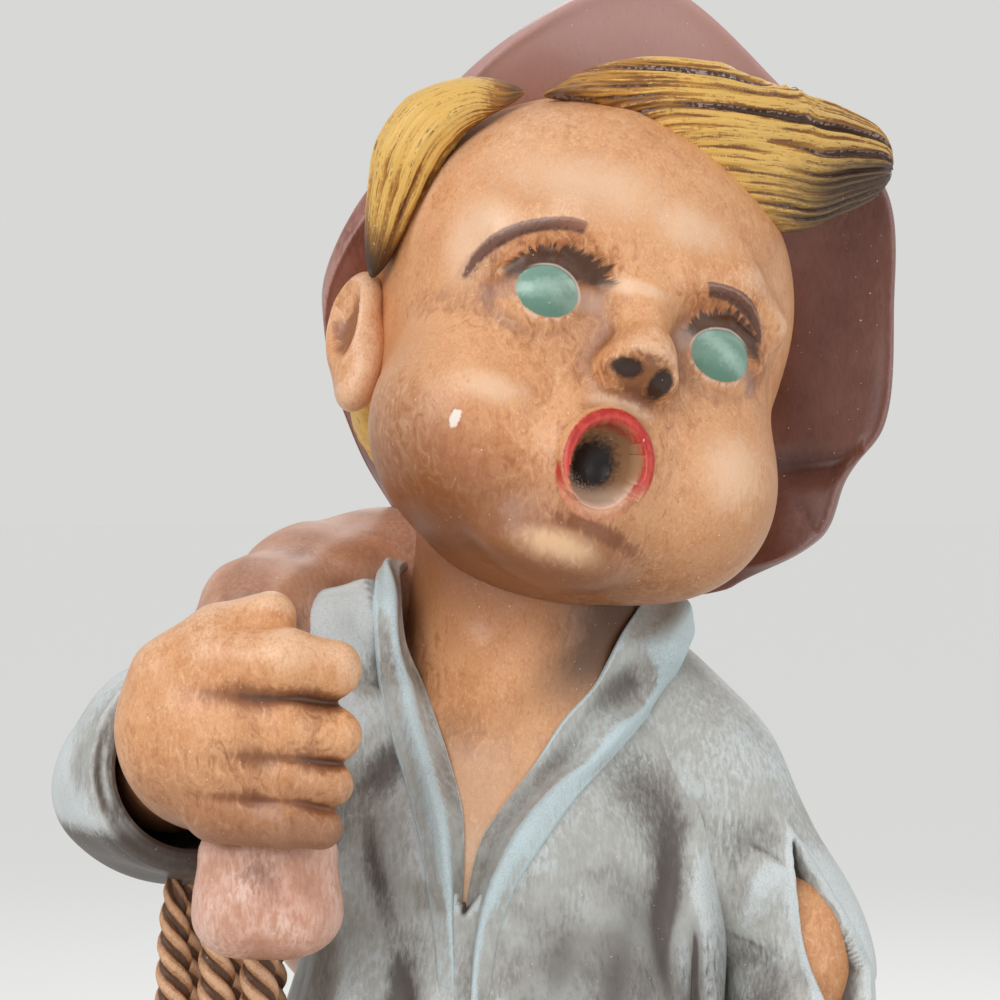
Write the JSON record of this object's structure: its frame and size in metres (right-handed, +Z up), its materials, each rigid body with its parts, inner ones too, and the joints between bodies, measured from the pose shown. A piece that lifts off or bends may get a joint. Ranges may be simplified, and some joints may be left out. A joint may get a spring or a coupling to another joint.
{
  "type": "ceramic figurine",
  "caption": "Hand-painted ceramic figurine of a calling boy in a slouch hat, a sack over his shoulder and a hank of rope on his arm.",
  "frame": {"origin": "middle of the base's flat underside", "axes": "+Z up; the figure faces -Y, and +X is to the figure's left"},
  "size_m": [0.1651, 0.1436, 0.4275],
  "materials": {
    "skin": "satin, brush stained",
    "shirt": "satin, dry brushed",
    "hat": "satin, dry brushed",
    "hair": "satin, stained grooves",
    "sack": "satin, dry brushed",
    "rope": "satin, stained grooves",
    "trousers": "satin",
    "boots": "satin",
    "mound": "satin, mottled"
  },
  "bodies": {
    "root": {"base": "mound", "left_boot": "boots", "right_boot": "boots", "left_shin": "skin", "right_shin": "skin", "trousers": "trousers", "shirt": "shirt", "neck_and_chest": "skin", "left_collar": "shirt", "right_collar": "shirt", "left_sleeve": "shirt", "left_elbow": "skin", "left_hand": "skin", "right_sleeve": "shirt", "right_hand": "skin", "sack": "sack", "sack_tail": "sack", "rope_loop_1": "rope", "rope_loop_2": "rope", "rope_loop_3": "rope", "head": "skin", "left_ear": "skin", "right_ear": "skin", "forelock": "hair", "side_tuft": "hair", "back_hair": "hair", "hat_brim": "hat", "hat_crown": "hat"}
  },
  "joints": []
}
